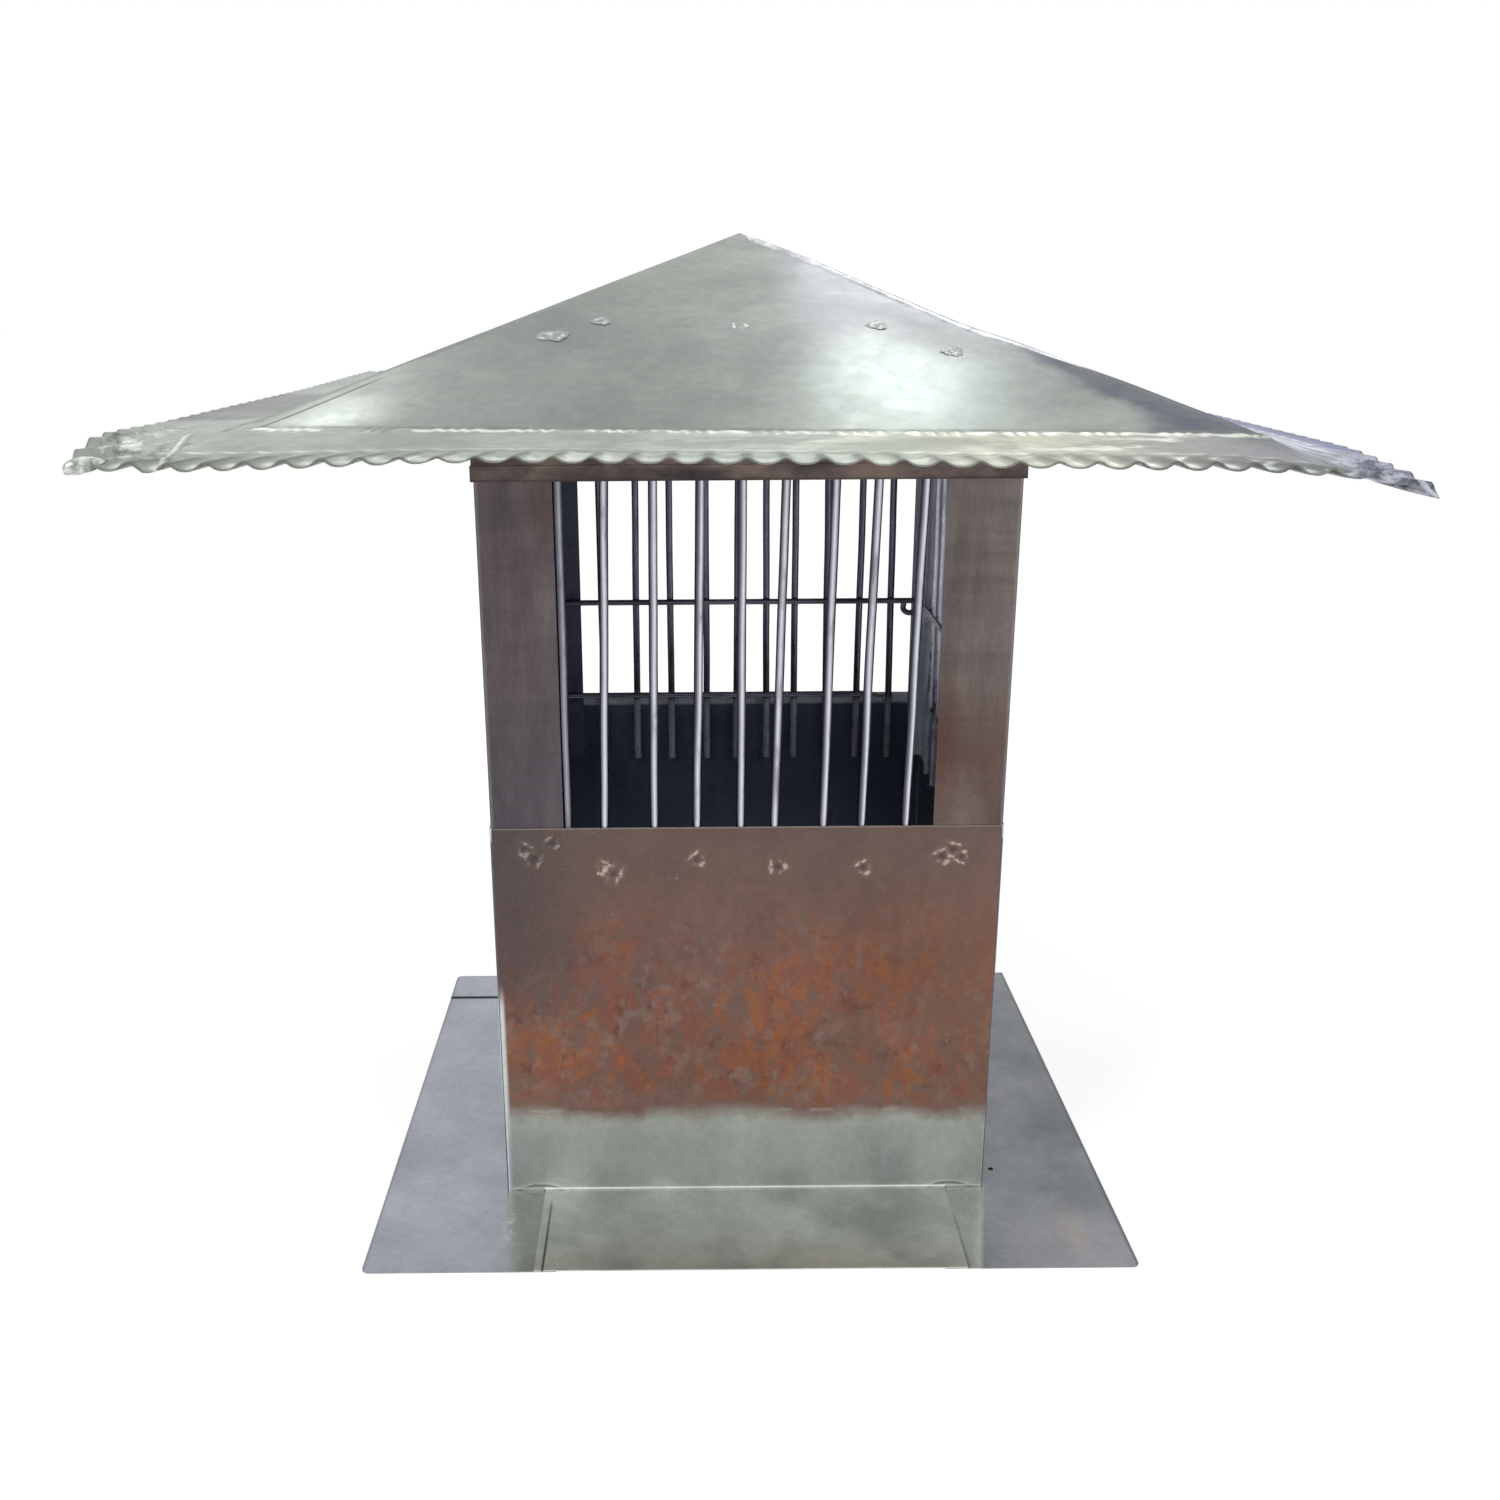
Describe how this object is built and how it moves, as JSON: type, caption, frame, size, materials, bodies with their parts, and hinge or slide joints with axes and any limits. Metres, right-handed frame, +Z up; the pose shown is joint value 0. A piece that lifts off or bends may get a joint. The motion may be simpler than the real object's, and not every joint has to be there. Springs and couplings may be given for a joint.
{
  "type": "chimney cap",
  "caption": "Square galvanised chimney cap: a hipped roof with a crimped eave over a barred box on a flashing flange.",
  "frame": {"origin": "on the upright axis of the square body, at the underside of the flange", "axes": "+Z up, +X to the right and +Y to the back, seen from the side with the folded front tab"},
  "size_m": [0.7165, 0.7165, 0.6735],
  "materials": {
    "roof_sheet": "galvanised, dull, hand crimped at the eave",
    "collar_sheet": "galvanised, weathered",
    "post_sheet": "galvanised, weathered",
    "box_sheet": "galvanised, with a rusty tint",
    "flange_sheet": "galvanised, with faint spangle",
    "rod_steel": "galvanised round rod"
  },
  "bodies": {
    "root": {"roof": "roof_sheet", "top_collar": "collar_sheet", "front_left_post": "post_sheet", "front_right_post": "post_sheet", "back_right_post": "post_sheet", "back_left_post": "post_sheet", "lower_box": "box_sheet", "left_flange": "flange_sheet", "right_flange": "flange_sheet", "back_flange": "flange_sheet", "back_upper_rod": "rod_steel", "back_lower_rod": "rod_steel", "right_rod": "rod_steel", "left_rod": "rod_steel", "front_bar_1": "rod_steel", "front_bar_2": "rod_steel", "front_bar_3": "rod_steel", "front_bar_4": "rod_steel", "front_bar_5": "rod_steel", "front_bar_6": "rod_steel", "front_bar_7": "rod_steel", "front_bar_8": "rod_steel", "front_bar_9": "rod_steel", "right_bar_1": "rod_steel", "right_bar_2": "rod_steel", "right_bar_3": "rod_steel", "right_bar_4": "rod_steel", "right_bar_5": "rod_steel", "right_bar_6": "rod_steel", "right_bar_7": "rod_steel", "right_bar_8": "rod_steel", "right_bar_9": "rod_steel", "back_bar_1": "rod_steel", "back_bar_2": "rod_steel", "back_bar_3": "rod_steel", "back_bar_4": "rod_steel", "back_bar_5": "rod_steel", "back_bar_6": "rod_steel", "back_bar_7": "rod_steel", "back_bar_8": "rod_steel", "back_bar_9": "rod_steel", "back_bar_10": "rod_steel", "left_bar_1": "rod_steel", "left_bar_2": "rod_steel", "left_bar_3": "rod_steel", "left_bar_4": "rod_steel", "left_bar_5": "rod_steel", "left_bar_6": "rod_steel", "left_bar_7": "rod_steel", "left_bar_8": "rod_steel", "left_bar_9": "rod_steel"}
  },
  "joints": []
}
